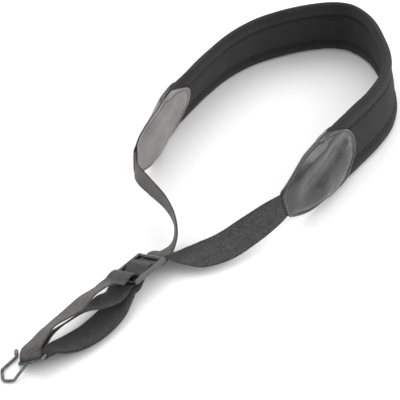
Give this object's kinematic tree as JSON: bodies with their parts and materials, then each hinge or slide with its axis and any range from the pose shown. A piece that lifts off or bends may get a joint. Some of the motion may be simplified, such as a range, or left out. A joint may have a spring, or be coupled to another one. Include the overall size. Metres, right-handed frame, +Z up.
{
  "type": "saxophone neck strap",
  "caption": "Padded neck strap: ring-shaped foam pad with leather ends, woven web through a three-bar slider to a bent wire hook.",
  "frame": {"origin": "middle of the footprint, on the surface that the strap lies on", "axes": "+Z up, +X from the hook towards the back of the neck pad, +Y to the wearer's left web"},
  "size_m": [0.5314, 0.1876, 0.0656],
  "materials": {
    "neoprene": "matte knit-faced foam",
    "binding": "matte stretch knit, puffed",
    "thread": "twisted polyester thread",
    "leather_dark": "smooth glossy grain",
    "leather_light": "satin grain, seen from inside",
    "web_dark": "woven nylon webbing",
    "web_light": "woven nylon webbing, brushed side",
    "slider_plastic": "polished",
    "hook_steel": "dark nickel, worn bright on edges",
    "tip_plastic": "satin sleeve"
  },
  "bodies": {
    "neck_pad": {"pad_core": "neoprene", "outer_panel": "neoprene", "inner_panel": "neoprene", "top_binding": "binding", "bottom_binding": "binding", "outer_seam_threads": "thread", "inner_seam_threads": "thread", "centre_tab": "binding", "left_patch_outer": "leather_dark", "left_patch_inner": "leather_light", "right_patch_outer": "leather_dark", "right_patch_inner": "leather_light", "left_patch_stitching": "thread", "right_patch_stitching": "thread", "left_web": "web_light", "right_web": "web_dark"},
    "slider": {"slider_frame": "slider_plastic", "slider_web_upper": "web_dark", "slider_web_lower": "web_dark", "slider_web_turn": "web_dark"},
    "web_loop": {"loop_upper_strand": "web_light", "loop_middle_strand": "web_dark", "loop_floor_strand_upper": "web_dark", "loop_floor_strand_lower": "web_dark", "hook_wrap_inner": "web_dark", "hook_wrap_outer": "web_dark"},
    "hook": {"hook_wire": "hook_steel", "hook_tip_sleeve": "tip_plastic"}
  },
  "joints": [
    {"name": "slider_slide", "type": "slide", "parent": "neck_pad", "child": "slider", "axis": [1, 0, 0], "range_m": [-0.09, 0.04], "deforming": ["left_web", "right_web", "loop_upper_strand", "loop_middle_strand", "loop_floor_strand_upper", "loop_floor_strand_lower"]},
    {"name": "loop_travel", "type": "slide", "parent": "slider", "child": "web_loop", "axis": [1, 0, 0], "range_m": [-0.02, 0.045]},
    {"name": "hook_swing", "type": "hinge", "parent": "web_loop", "child": "hook", "pos_m": [-0.2376, -0.0301, 0.0122], "axis": [0.1992, -0.7767, 0.5975], "range_deg": [-80, 75]}
  ],
  "couplings": [
    {"joint": "loop_travel", "follows": "slider_slide", "ratio": -0.5}
  ]
}
